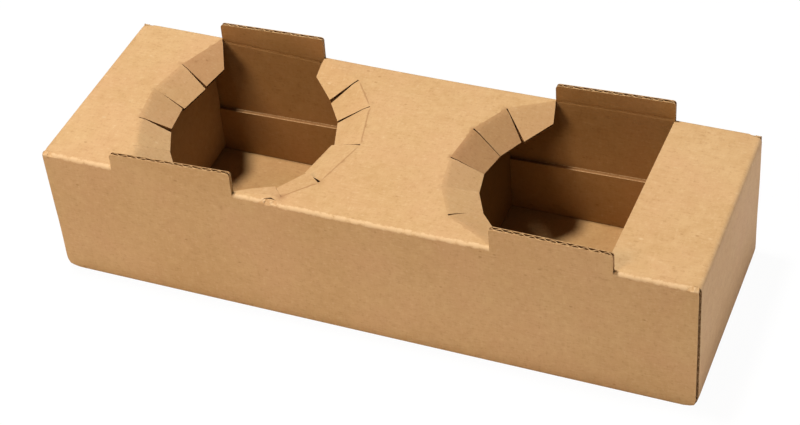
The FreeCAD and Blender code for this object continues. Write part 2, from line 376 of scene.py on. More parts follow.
class Board:
    """Collects the faces of one piece of board and writes them as a mesh."""

    def __init__(self):
        self.points, self.faces, self.kinds = [], [], []
        self.values = {"flute_place": [], "wear": [], "rubbed": []}
        self.count = 0

    def add_points(self, points, flute_place, wear=0.0, rubbed=0.0):
        """Adds points with their values for the materials. Returns the first point's number."""
        first = self.count
        self.points.append(points)
        for values, added in zip(self.values.values(), (flute_place, wear, rubbed)):
            values.append(np.broadcast_to(added, len(points)))
        self.count += len(points)
        return first

    def add_faces(self, faces, kind):
        self.faces += [tuple(int(i) for i in face) for face in faces]
        self.kinds += [kind] * len(faces)

    def make_object(self, name, materials):
        mesh = bpy.data.meshes.new(name)
        mesh.from_pydata((np.concatenate(self.points) * MM).tolist(), [], self.faces)
        mesh.polygons.foreach_set("material_index", self.kinds)
        for label, values in self.values.items():
            layer = mesh.attributes.new(label, "FLOAT", "POINT")
            layer.data.foreach_set("value", np.concatenate(values).astype(np.float32))
        for material in materials:
            mesh.materials.append(material)
        mesh.polygons.foreach_set("use_smooth", [True] * len(mesh.polygons))
        made = bpy.data.objects.new(name, mesh)
        bpy.context.scene.collection.objects.link(made)
        merge_close(mesh)
        mesh.set_sharp_from_angle(angle=math.radians(SHARP_ANGLE))
        return made


def merge_close(mesh):
    """Joins the seams between sheets of one blank."""
    edited = bmesh.new()
    edited.from_mesh(mesh)
    bmesh.ops.remove_doubles(edited, verts=edited.verts, dist=MERGE_DISTANCE * MM)
    edited.to_mesh(mesh)
    edited.free()


def frame_at(surface, places):
    """Points and unit normals of a surface at flat places."""
    small = 0.02
    points = surface(places)
    along_u = surface(places + [small, 0]) - surface(places - [small, 0])
    along_v = surface(places + [0, small]) - surface(places - [0, small])
    normals = np.cross(along_u, along_v)
    return points, normals / np.maximum(np.linalg.norm(normals, axis=1, keepdims=True), TINY)


def inside_loops(places, loops):
    """True for the places inside an odd number of the closed loops."""
    result = np.zeros(len(places), bool)
    px, py = places.T
    for loop in loops:
        for (ax, ay), (bx, by) in zip(loop, np.roll(loop, -1, axis=0)):
            crosses = (ay > py) != (by > py)
            if ay != by:
                result ^= crosses & (px < (bx - ax) * (py - ay) / (by - ay) + ax)
    return result


def distance_to_lines(places, lines):
    """Distance from each place to the nearest of the line segments."""
    best = np.full(len(places), np.inf)
    for a, b in lines:
        run = np.subtract(b, a)
        share = np.clip((places - a) @ run / max(run @ run, TINY), 0, 1)
        best = np.minimum(best, np.linalg.norm(places - a - share[:, None] * run, axis=1))
    return best


def split_line(a, b, step, stations):
    """Points from a up to b, no more than a step apart, with one at each station that is crossed."""
    a, b = np.array(a, float), np.array(b, float)
    length = np.linalg.norm(b - a)
    shares = list(np.linspace(0, 1, max(1, math.ceil(length / step)) + 1)[:-1])
    if abs(b[1] - a[1]) > SLIVER:
        crossed = (stations - a[1]) / (b[1] - a[1])
        shares += [s for s in crossed
                   if 0.001 < s < 0.999 and min(abs(s - t) for t in shares) * length > STATION_CLEARANCE]
    return [a + (b - a) * s for s in sorted(shares)]


# How a sheet is meshed: the rows and columns of its grid and its outline's step, then the lines
# where its rim is a seam, a slit or crushed, its creases, and its folds, which lie across an axis
Style = namedtuple("Style", "rows columns step seams slits crushed creases fold_rows folds fold_axis",
                   defaults=((), (), (), (), np.array([]), (), 1))


def nowhere(places):
    return np.zeros(len(places))


def one_group(centres):
    return np.zeros(len(centres), int)


# How a sheet is finished, as functions of its flat places, with one painted shade value for each group
Finish = namedtuple("Finish", "wear inner_wear inner_dent marks rubbed",
                    defaults=(nowhere, nowhere, nowhere, nowhere, (0.0,)))


def inside_share(places, style):
    """How much of the half thickness is left on the inner side, which is crushed in the folds."""
    share, across = np.ones(len(places)), places[:, style.fold_axis]
    crushed = FOLD_THICKNESS_INSIDE / (BOARD / 2)
    for low, high in style.folds:
        outside = np.maximum(low - across, across - high)
        share = np.minimum(share, crushed + (1 - crushed) * np.clip(outside / FOLD_RUN_IN, 0, 1))
    return share


def fold_wear(folds, axis, strengths, width):
    """Wear of the outer liner along the folds."""
    def wear(places):
        worn = np.zeros(len(places))
        for (low, high), strength in zip(folds, strengths):
            worn = np.maximum(worn, bell(places[:, axis] - (low + high) / 2, strength, width))
        return worn

    return wear


def triangulate(loops, style):
    """Flat places and triangles inside an outline with holes."""
    outline_points, constraints, fine_loops = [], [], []
    for loop in loops:
        start = len(outline_points)
        pieces = []
        for a, b in zip(loop, loop[1:] + loop[:1]):
            pieces += split_line(a, b, style.step, style.fold_rows)
        outline_points += pieces
        fine_loops.append(np.array(pieces))
        last = len(outline_points)
        constraints += [(i, i + 1 if i + 1 < last else start) for i in range(start, last)]
    for a, b in style.creases:
        share = np.linspace(0, 1, max(2, math.ceil(np.linalg.norm(b - a) / style.step)) + 1)
        outline_points += [a + (b - a) * s for s in share[1:-1]]
    grid = np.array([(u, v) for v in style.rows for u in style.columns])
    grid = grid[inside_loops(grid, fine_loops)]
    lines = [line for loop in loops for line in zip(loop, loop[1:] + loop[:1])] + list(style.creases)
    grid = grid[distance_to_lines(grid, lines) > GRID_CLEARANCE]
    places = np.concatenate([np.array(outline_points), grid])
    made = delaunay_2d_cdt([Vector(p) for p in places], constraints, [], 0, 1e-5)
    places = np.array([tuple(v) for v in made[0]])
    triangles = np.array([face for face in made[2] if len(face) == 3])
    triangles = triangles[inside_loops(places[triangles].mean(axis=1), fine_loops)]
    a, b, c = (places[triangles[:, k]] for k in range(3))
    area = (b[:, 0] - a[:, 0]) * (c[:, 1] - a[:, 1]) - (b[:, 1] - a[:, 1]) * (c[:, 0] - a[:, 0])
    kept = np.abs(area) > SLIVER
    triangles, area = triangles[kept], area[kept]
    triangles = np.where((area < 0)[:, None], triangles[:, ::-1], triangles)
    used = np.unique(triangles)
    renumber = np.full(len(places), -1)
    renumber[used] = np.arange(len(used))
    return places[used], renumber[triangles]


def rim_of(triangles):
    """The edges that only one triangle has, in the direction in which it has them."""
    edges = dict.fromkeys((i, j) for p, q, r in triangles.tolist() for i, j in ((p, q), (q, r), (r, p)))
    return [(i, j) for i, j in edges if (j, i) not in edges]


def rim_depths(rim, places, style):
    """How deep each edge of the rim is open, and the edges that lie on slits."""
    middles = np.array([(places[i] + places[j]) / 2 for i, j in rim])
    on_seam, on_slit, on_crush = (distance_to_lines(middles, lines) < ON_LINE
                                  for lines in (style.seams, style.slits, style.crushed))
    depth = {}
    for (i, j), seam, slit, crush in zip(rim, on_seam, on_slit, on_crush):
        run = unit(places[j] - places[i])
        if seam:
            depth[(i, j)] = 0.0
        elif crush:
            depth[(i, j)] = CRUSHED_EDGE_RECESS
        elif abs(run[0]) > ACROSS_FLUTES and not slit:
            depth[(i, j)] = FLUTE_DEPTH_SHOWN
        else:
            depth[(i, j)] = CUT_EDGE_RECESS
    return depth, {edge for edge, slit in zip(rim, on_slit) if slit}


def rim_insets(rim, places, depth):
    """How far the bottom of the open channel lies in from each point of the rim."""
    following = dict(rim)
    preceding = {j: i for i, j in rim}
    insets = []
    for i, _ in rim:
        before, after = places[i] - places[preceding[i]], places[following[i]] - places[i]
        left_after = unit(turned_left(after))
        mean = unit(unit(turned_left(before)) + left_after)
        stretch = min(1 / max(mean @ left_after, MITRE_LEAST), MITRE_MOST)
        depths = [d for d in (depth[(preceding[i], i)], depth[(i, following[i])]) if d > 0]
        insets.append(mean * stretch * min(depths, default=0.0))
    return np.array(insets)


def add_sheet(board, loops, surfaces, style, finish=Finish(), group_of=one_group):
    """Adds one flat outline, folded by its surfaces, with both liners and its cut edges."""
    places, triangles = triangulate(loops, style)
    groups = np.zeros(len(places), int)
    triangle_groups = group_of(places[triangles].mean(axis=1))
    for corner in range(3):
        np.maximum.at(groups, triangles[:, corner], triangle_groups)

    def lift(where, which):
        """Points and normals of flat places, each on the surface of its group."""
        points, normals = np.zeros((len(where), 3)), np.zeros((len(where), 3))
        for group in np.unique(which):
            chosen = which == group
            points[chosen], normals[chosen] = frame_at(surfaces[group], where[chosen])
        return points, normals

    points, normals = lift(places, groups)
    half = BOARD / 2
    # Painted shade: darker paper on the tabs that face away from the key lamp, plus the painted lines from
    # marks
    rubbed = np.array(finish.rubbed)[groups] + finish.marks(places)
    outer = board.add_points(points + normals * half, places[:, 0], finish.wear(places), rubbed)
    left_inside = inside_share(places, style) - finish.inner_dent(places) / half
    inner = board.add_points(points - normals * (half * left_inside)[:, None], places[:, 0],
                             finish.inner_wear(places))
    board.add_faces(triangles + outer, LINER_FACE)
    board.add_faces(triangles[:, ::-1] + inner, INNER_FACE)

    rim = rim_of(triangles)
    depth, slit_rim = rim_depths(rim, places, style)
    on_rim = np.array([i for i, _ in rim])
    inset_points, inset_normals = lift(places[on_rim] + rim_insets(rim, places, depth), groups[on_rim])
    core = half - LINER
    core_inside = (half * left_inside[on_rim] - LINER)[:, None]
    rings = [board.add_points(ring, places[on_rim, 0], 0, rubbed[on_rim])
             for ring in (points[on_rim] + normals[on_rim] * core, inset_points + inset_normals * core,
                          inset_points - inset_normals * core_inside,
                          points[on_rim] - normals[on_rim] * core_inside)]
    order = {vertex: k for k, vertex in enumerate(on_rim.tolist())}
    paper, medium_and_slit_shade, closed = [], [], []
    for i, j in rim:
        if depth[(i, j)] == 0:
            continue
        m, n = order[i], order[j]
        # The liners' cut edges along slits take the dark medium colour: painted shade in the narrow slits
        outer_edge = medium_and_slit_shade if (i, j) in slit_rim else paper
        outer_edge.append((outer + j, outer + i, rings[0] + m, rings[0] + n))
        channel = closed if depth[(i, j)] == CRUSHED_EDGE_RECESS else medium_and_slit_shade
        for ring, following in zip(rings, rings[1:]):
            channel.append((ring + n, ring + m, following + m, following + n))
        paper.append((rings[3] + n, rings[3] + m, inner + i, inner + j))
    board.add_faces(paper, CUT_PAPER)
    board.add_faces(closed, INNER_FACE)
    board.add_faces(medium_and_slit_shade, CORE)
    add_flutes(board, places, groups, surfaces, depth, style)


def add_flutes(board, places, groups, surfaces, depth, style):
    """Adds the wavy medium along the cut edges that cross the flutes."""
    swing = BOARD / 2 - LINER - MEDIUM / 2
    for (i, j), deep in depth.items():
        if deep < FLUTE_DEPTH_SHOWN:
            continue
        a, b = places[i], places[j]
        count = max(1, math.ceil(np.linalg.norm(b - a) / FLUTE_STEP))
        edge = a + (b - a) * np.linspace(0, 1, count + 1)[:, None]
        inward = turned_left(unit(b - a))
        surface = surfaces[max(groups[i], groups[j])]
        phase = edge[:, 0] * 2 * math.pi / FLUTE_PITCH
        slope = swing * 2 * math.pi / FLUTE_PITCH * np.sin(phase)
        half = MEDIUM / 2 * np.sqrt(1 + slope ** 2)
        offset = swing * np.cos(phase) * inside_share(edge, style)
        rows = []
        for back_from_edge in (MEDIUM_RECESS, FLUTE_DEPTH_SHOWN):
            points, normals = frame_at(surface, edge + inward * back_from_edge)
            rows.append(board.add_points(points + normals * (offset + half)[:, None], edge[:, 0]))
            rows.append(board.add_points(points + normals * (offset - half)[:, None], edge[:, 0]))
        near_top, near_bottom, far_top, far_bottom = rows
        for kind, corners in ((CUT_PAPER, (near_top + 1, near_top, near_bottom, near_bottom + 1)),
                              (CORE, (near_top, near_top + 1, far_top + 1, far_top)),
                              (CORE, (near_bottom + 1, near_bottom, far_bottom, far_bottom + 1))):
            board.add_faces(np.arange(count)[:, None] + corners, kind)


Hinge = namedtuple("Hinge", "start along inwards length")


class OpeningSide:
    """One row of tabs: its hinge lines, slits and free edges on the flat top panel."""

    def __init__(self, back_end, row, front_end, tabs, cup_side):
        ends = [(back_end, 1.0)] + row + [(front_end, -1.0)]
        self.points = [np.array([x, share * wall_inside]) for x, share in ends]
        self.tabs, self.hinges = tabs, []
        for first, second in zip(self.points, self.points[1:]):
            along = unit(second - first)
            inwards = turned_left(along)
            if inwards[0] * cup_side < 0:
                inwards = -inwards
            self.hinges.append(Hinge(first, along, inwards, np.linalg.norm(second - first)))

    def corners(self, k):
        """Hinge ends and free corners of a tab, from its first to its second slit."""
        hinge, tab = self.hinges[k], self.tabs[k]
        start = hinge.start + hinge.along * tab.parted[0]
        end = hinge.start + hinge.along * (hinge.length - tab.parted[1])
        low, high = (share * TAB_LENGTH for share in tab.reach)
        return [start, start + hinge.inwards * low + hinge.along * (low * tab.lean[0]),
                end + hinge.inwards * high - hinge.along * (high * tab.lean[1]), end]

    def outline(self):
        return [corner for k in range(len(self.tabs)) for corner in self.corners(k)]

    def fold(self, k):
        """Surface of a tab: the top panel, bent down about the hinge line."""
        hinge = self.hinges[k]
        tilt = math.radians(self.tabs[k].tilt)

        def surface(places):
            points = np.column_stack([places[:, 0], places[:, 1] - on_top(0),
                                      np.full(len(places), HEIGHT - BOARD / 2)])
            reach = (points[:, :2] - hinge.start) @ hinge.inwards
            bent = np.clip(reach, 0, HINGE_BEND)
            angle = tilt * bent / HINGE_BEND
            curve = tilt / HINGE_BEND
            out = np.where(reach > 0, np.sin(angle) / curve, reach)
            down = np.where(reach > 0, (1 - np.cos(angle)) / curve, 0)
            rest = np.clip(reach - HINGE_BEND, 0, None)
            out, down = out + rest * math.cos(tilt), down + rest * math.sin(tilt)
            points[:, :2] += hinge.inwards * (out - reach)[:, None]
            points[:, 2] -= down
            return settle(points)

        return surface


def wrap_surface(places):
    y, z = wrap_path.place(places[:, 1])
    return settle(np.column_stack([places[:, 0], y, z]))


def to_flat(points):
    """Places on the wrap of points given on the top panel."""
    return [(float(p[0]), float(on_top(p[1]))) for p in points]


left_outer = OpeningSide(BACK_LEFT_EAR.low, LEFT_OUTER_HINGES, LEFT_OUTER_FRONT_END, LEFT_OUTER_TABS, 1)
left_inner = OpeningSide(BACK_LEFT_EAR.high, LEFT_INNER_HINGES, FRONT_LEFT_EAR.high, LEFT_INNER_TABS, -1)
right_inner = OpeningSide(BACK_RIGHT_EAR.low, RIGHT_INNER_HINGES, FRONT_RIGHT_EAR.low, RIGHT_INNER_TABS, 1)
all_tabs = [(row, k) for row in (left_outer, left_inner, right_inner) for k in range(len(row.tabs))]
right_edge = [(RIGHT_OPENING_EDGE + RIGHT_EDGE_SLANT, notch_back),
              (RIGHT_OPENING_EDGE - RIGHT_EDGE_SLANT, notch_front)]
flap_top = [(-flap_end + FLAP_END_TAPER, flap_slope), (flap_end - FLAP_END_TAPER, 0.0)]


def wrap_loops():
    """The blank's outline, its two cup openings, with the notches behind the ears, and the tear."""
    trimmed = TRIM_CURVE * CORNER_TRIM
    right_end = [(flap_end, flap_fold[0]), (flap_end, flap_fold[1]), (bottom_end, flap_fold[1]),
                 (bottom_end, front_foot_fold[0]), (wall_end, front_foot_fold[1]),
                 (wall_end, panel_front - CORNER_TRIM), (wall_end - trimmed, panel_front - trimmed),
                 (trim_end, panel_front), (end_seam, panel_front), (end_seam, panel_back),
                 (trim_end, panel_back), (wall_end - trimmed, panel_back + trimmed),
                 (wall_end, panel_back + CORNER_TRIM), (wall_end, wrap_path.length)]
    outline = flap_top + right_end + [(-x, v) for x, v in right_end[::-1]]
    near, far = FRONT_LEFT_EAR, BACK_LEFT_EAR
    left = [(near.low, front_seam), (near.low, notch_front)]
    left += to_flat(left_outer.outline()[::-1])
    left += [(far.low, panel_back), (far.low, back_seam), (far.high, back_seam), (far.high, panel_back)]
    left += to_flat(left_inner.outline())
    left += [(near.high, panel_front), (near.high, front_seam)]
    near, far = FRONT_RIGHT_EAR, BACK_RIGHT_EAR
    right = [(near.low, front_seam), (near.low, panel_front)]
    right += to_flat(right_inner.outline()[::-1])
    right += [(far.low, panel_back), (far.low, back_seam), (far.high, back_seam), (far.high, notch_back)]
    right += right_edge + [(near.high, notch_front), (near.high, front_seam)]
    middle_x, middle_y = TEAR_MIDDLE
    tear = to_flat([TEAR_START, (middle_x + TEAR_WIDTH / 2, middle_y - TEAR_WIDTH / 2), TEAR_END,
                    (middle_x, middle_y + TEAR_WIDTH / 2)])
    return [outline, left, right, tear]


def at_both_ends(start, end):
    """A line of the wrap at the right end, and its mirror image at the left end."""
    return [((side * start[0], start[1]), (side * end[0], end[1])) for side in (-1, 1)]


def make_wrap(board):
    """The bottom, front, top and back of the box, with the glue flap and the tabs."""
    polygons = [np.array(to_flat(row.corners(k))) for row, k in all_tabs]

    def group_of(centres):
        found = np.zeros(len(centres), int)
        for number, polygon in enumerate(polygons):
            found[inside_loops(centres, [polygon])] = number + 1
        return found

    creases, slits, crushed = [], [], [flap_top, right_edge]
    for row, k in all_tabs:
        a, tip_a, tip_b, b = (np.array(corner) for corner in to_flat(row.corners(k)))
        slits += [(a, tip_a), (b, tip_b)]
        inset = (b - a) * HINGE_ROW_INSET
        for reach in HINGE_ROWS:
            shift = row.hinges[k].inwards * reach
            creases.append((a + inset + shift, b - inset + shift))
    seams = at_both_ends((end_seam, on_top(-wall_inside + SIDE_GAP)),
                         (end_seam, on_top(wall_inside - SIDE_GAP)))
    for side, notch in ((-1, panel_front), (1, panel_back)):
        slits += at_both_ends((trim_end, notch), (end_seam, notch))
        crushed += at_both_ends((wall_end, notch + side * CORNER_TRIM), (trim_end, notch))
    crushed += at_both_ends((wall_end, panel_back), (wall_end, wrap_path.length))
    crushed += at_both_ends((bottom_end, flap_fold[1]), (bottom_end, front_foot_fold[0]))
    for ear in EARS:
        foot, notch = (front_seam, notch_front) if ear.sign < 0 else (back_seam, notch_back)
        seams.append(((ear.low, foot), (ear.high, foot)))
        crushed += [((x, foot), (x, notch)) for x in (ear.low, ear.high)]

    rows = [v for v in wrap_path.stations(FINE_STEP)
            if front_foot_fold[0] - FINE_MARGIN < v < back_top_fold[1] + FINE_MARGIN]
    rows += [v for v in wrap_path.stations(COARSE_STEP)
             if v <= rows[0] - COARSE_MARGIN or v >= rows[-1] + COARSE_MARGIN]
    fold_rows = np.array([v for low, high in wrap_path.folds for v in fold_marks(low, high)])
    style = Style(sorted(rows), spaced(-half_length, half_length, FINE_STEP), FINE_STEP, seams, slits,
                  crushed, creases, fold_rows, wrap_path.folds)

    # The middle four hinge lines at the right of the left opening get a thin line of painted shade, except
    # at their ends
    hinge_ends = to_flat(left_inner.points)
    shaded_hinges = list(zip(hinge_ends, hinge_ends[1:]))[1:5]

    # Painted shade: a thin dark line along these hinge lines, and one along the flap's top edge where it
    # meets the back wall
    def marks(places):
        from_corner = distance_to_lines(places, [(a, a) for a, b in shaded_hinges])
        hinge_shade = bell(distance_to_lines(places, shaded_hinges), HINGE_PAINTED_SHADE, PAINTED_LINE_WIDTH)
        flap_top_shade = distance_to_lines(places, [flap_top]) < PAINTED_LINE_WIDTH
        return hinge_shade * np.clip(from_corner / HINGE_SHADE_START, 0, 1) + flap_top_shade

    # A painted highlight: a lighter band on the inner face along the top of the flap, where its top edge
    # catches the light
    def inner_wear(places):
        return bell(places[:, 1] - flap_slope / 2, FLAP_PAINTED_HIGHLIGHT, FLAP_HIGHLIGHT_WIDTH)

    strengths = [FRONT_FOLD_WEAR if fold == front_top_fold else FOLD_WEAR for fold in wrap_path.folds]
    finish = Finish(fold_wear(wrap_path.folds, 1, strengths, FOLD_WEAR_WIDTH), inner_wear, marks=marks,
                    rubbed=[0.0] + [row.tabs[k].rubbed for row, k in all_tabs])
    surfaces = [wrap_surface] + [row.fold(k) for row, k in all_tabs]
    add_sheet(board, wrap_loops(), surfaces, style, finish, group_of)


def make_ear(board, ear):
    """A tongue of the front or back wall that stands up past the top, with a score across its foot."""
    sign = ear.sign

    def from_score(places):
        """Height above the score line that crosses the foot of the ear."""
        share = (places[:, 0] * -sign - ear.low) / (ear.high - ear.low)
        return places[:, 1] - (ear.scores[0] + (ear.scores[1] - ear.scores[0]) * share)

    def surface(places):
        above = np.clip(places[:, 1] - wall_top, 0, None)
        y = sign * wall_middle + ear.lean * (above / LEAN_HEIGHT) ** 2
        return settle(np.column_stack([places[:, 0] * -sign, y, places[:, 1]]))

    low_end, high_end = sorted((ear.low * -sign, ear.high * -sign))
    tops = [HEIGHT + rise + sag_at(x, sign * half_depth) for x, rise in zip((ear.low, ear.high), ear.rises)]
    low_top, high_top = tops if sign < 0 else tops[::-1]
    bevel = EAR_CORNER_RADIUS
    curve = EAR_CORNER_CURVE * bevel
    corners = [(low_end, wall_top), (high_end, wall_top), (high_end, high_top - bevel),
               (high_end - curve, high_top - curve), (high_end - bevel, high_top),
               (low_end + bevel, low_top), (low_end + curve, low_top - curve), (low_end, low_top - bevel)]
    rows = np.sort(np.concatenate([np.arange(wall_top + EAR_STEP / 2, max(tops), EAR_STEP), SCORE_ROWS]))
    style = Style(rows, spaced(low_end, high_end, FINE_STEP), FINE_STEP, seams=[corners[:2]],
                  crushed=[(corners[7], corners[0]), corners[1:3]])
    # A painted highlight along the score on the inner face, beside the dent of the score
    finish = Finish(inner_wear=lambda places: bell(from_score(places), SCORE_PAINTED_HIGHLIGHT, SCORE_WIDTH),
                    inner_dent=lambda places: bell(from_score(places), SCORE_DEPTH, SCORE_WIDTH))
    add_sheet(board, [corners], [surface], style, finish)


def strip_surface(path, side=1):
    """Surface of a strip that is folded along X, turned round for the left end."""
    def surface(places):
        x, z = path.place(places[:, 0])
        return settle(np.column_stack([side * x, side * places[:, 1], z]))

    return surface


def make_end(board, side):
    """End panel that turns in on the floor and stands up again as the outer partition."""
    outer, inner = half_length - BOARD / 2, OUTER_PARTITION + BOARD / 2
    path = FoldedPath([(end_seam, HEIGHT - BOARD / 2), (outer, HEIGHT - BOARD / 2), (outer, 1.5 * BOARD),
                       (inner, 1.5 * BOARD), (inner, divider_high[2])], END_FOLD_RADIUS)
    reach, narrow = wall_inside - SIDE_GAP, PARTITION_HALF_WIDTH
    shoulder = path.folds[1][0]
    corners = [(0.0, -reach), (shoulder, -reach), (shoulder, -narrow), (path.length, -narrow),
               (path.length, narrow), (shoulder, narrow), (shoulder, reach), (0.0, reach)]
    hidden = [((shoulder, s * narrow), (path.length, s * narrow)) for s in (-1, 1)]
    style = Style(spaced(-wall_inside, wall_inside, FINE_STEP), path.stations(FINE_STEP), CUT_STEP,
                  seams=[((0.0, -reach), (0.0, reach))], slits=hidden, folds=path.folds, fold_axis=0)
    strengths = [END_FOLD_WEAR] * len(path.folds)
    finish = Finish(fold_wear(path.folds, 0, strengths, END_FOLD_WEAR_WIDTH))
    add_sheet(board, [corners], [strip_surface(path, side)], style, finish)


def make_divider(board):
    """The strip folded to a U between the wells. Its left leg leans in under the tabs."""
    leg, top = divider_high[0] - BOARD / 2, divider_high[2]
    path = FoldedPath([(-leg + DIVIDER_LEAN, top), (-leg, 1.5 * BOARD), (leg, 1.5 * BOARD), (leg, top)],
                      FOLD_RADIUS)
    front, back = divider_low[1], divider_high[1] - DIVIDER_GAP
    corners = [(0.0, front), (path.length, front), (path.length, back), (0.0, back)]
    style = Style(np.linspace(front, back, DIVIDER_ROWS), path.stations(COARSE_STEP), CUT_STEP,
                  slits=[corners[:2], corners[2:]], folds=path.folds, fold_axis=0)
    add_sheet(board, [corners], [strip_surface(path)], style)


# Materials
def srgb(red, green, blue):
    """A colour as it is seen, given in 0 to 255, as the linear values that shaders take."""
    return tuple(v / 12.92 if v <= 0.04045 else ((v + 0.055) / 1.055) ** 2.4
                 for v in (red / 255, green / 255, blue / 255)) + (1.0,)


KRAFT = srgb(182, 148, 104)
KRAFT_DARK = srgb(171, 135, 90)
KRAFT_LIGHT = srgb(191, 159, 117)
KRAFT_RUDDY = srgb(183, 143, 105)
FIBRE_DARK = srgb(140, 102, 62)
FIBRE_LIGHT = srgb(204, 177, 140)
SCUFF_AND_HIGHLIGHT = srgb(208, 180, 142)
OUTER_SHADE = (1.0, 1.0, 1.0, 1.0)
INNER_SHADE = (0.80, 0.71, 0.57, 1.0)
# Painted shade: the divider's liner is darkened for the shade that the tabs cast on it in the wells
DIVIDER_PAINTED_SHADE = (0.35, 0.31, 0.23, 1.0)
PAINTED_SHADE_TINT = (0.64, 0.55, 0.49, 1.0)
MEDIUM_BROWN = srgb(128, 92, 56)
MEDIUM_DARK = srgb(92, 62, 36)
CUT_LIGHT = srgb(186, 152, 110)
CUT_BROWN = srgb(138, 103, 65)


class Nodes:
    """Short calls for building the node tree of a material or a world."""

    def __init__(self, owner):
        owner.use_nodes = True
        self.owner, self.tree = owner, owner.node_tree
        self.tree.nodes.clear()

    def set_input(self, socket, value):
        if isinstance(value, bpy.types.NodeSocket):
            self.tree.links.new(value, socket)
        else:
            socket.default_value = value

    def add(self, kind, *numbered, **named):
        """A new node with its inputs set, in order or by name with an underscore for a space."""
        node = self.tree.nodes.new("ShaderNode" + kind)
        for socket, value in zip(node.inputs, numbered):
            self.set_input(socket, value)
        for label, value in named.items():
            self.set_input(node.inputs[label.replace("_", " ")], value)
        return node

    def place(self, scale=(1, 1, 1), turn=(0, 0, 0)):
        """Where on the object a point is, in metres, stretched to so many cells a metre."""
        here = self.add("TexCoord").outputs["Object"]
        return self.add("Mapping", Vector=here, Scale=scale, Rotation=turn).outputs["Vector"]

    def noise(self, place, scale, detail, roughness, distortion=0.0):
        return self.add("TexNoise", Vector=place, Scale=scale, Detail=detail, Roughness=roughness,
                        Distortion=distortion).outputs["Fac"]

    def cells(self, place, scale):
        """Distance to the middle of a random cell, and three random values of the cell."""
        node = self.add("TexVoronoi", Vector=place, Scale=scale)
        return node.outputs["Distance"], self.add("SeparateColor", node.outputs["Color"]).outputs

    def attribute(self, name):
        node = self.add("Attribute")
        node.attribute_name = name
        return node.outputs["Fac"]

    def math(self, operation, first, second=0.0):
        node = self.add("Math", first, second)
        node.operation = operation
        return node.outputs[0]

    def sum_of(self, first, first_share, second, second_share):
        return self.math("ADD", self.math("MULTIPLY", first, first_share),
                         self.math("MULTIPLY", second, second_share))

    def ranged(self, value, low, high, to_low=0.0, to_high=1.0):
        """The value, taken from the range low to high to the range to_low to to_high."""
        return self.add("MapRange", value, low, high, to_low, to_high).outputs["Result"]

    def mix(self, share, first, second, blend="MIX"):
        node = self.tree.nodes.new("ShaderNodeMix")
        node.data_type = "RGBA"
        node.blend_type = blend
        for number, value in ((0, share), (6, first), (7, second)):
            self.set_input(node.inputs[number], value)
        return node.outputs[2]

    def bump(self, height, distance, strength=1.0, **normal):
        return self.add("Bump", Height=height, Distance=distance, Strength=strength,
                        **normal).outputs["Normal"]

    def finish(self, **inputs):
        """Ends a material with a shader that has these inputs, and returns it."""
        self.add("OutputMaterial", self.add("BsdfPrincipled", **inputs).outputs["BSDF"])
        return self.owner

    def choose_by_camera(self, others, seen, output):
        """Ends in one shader for the camera's own rays and another for all other rays."""
        is_camera = self.add("LightPath").outputs["Is Camera Ray"]
        either = self.add("MixShader", is_camera, others.outputs[0], seen.outputs[0])
        self.add(output, either.outputs[0])


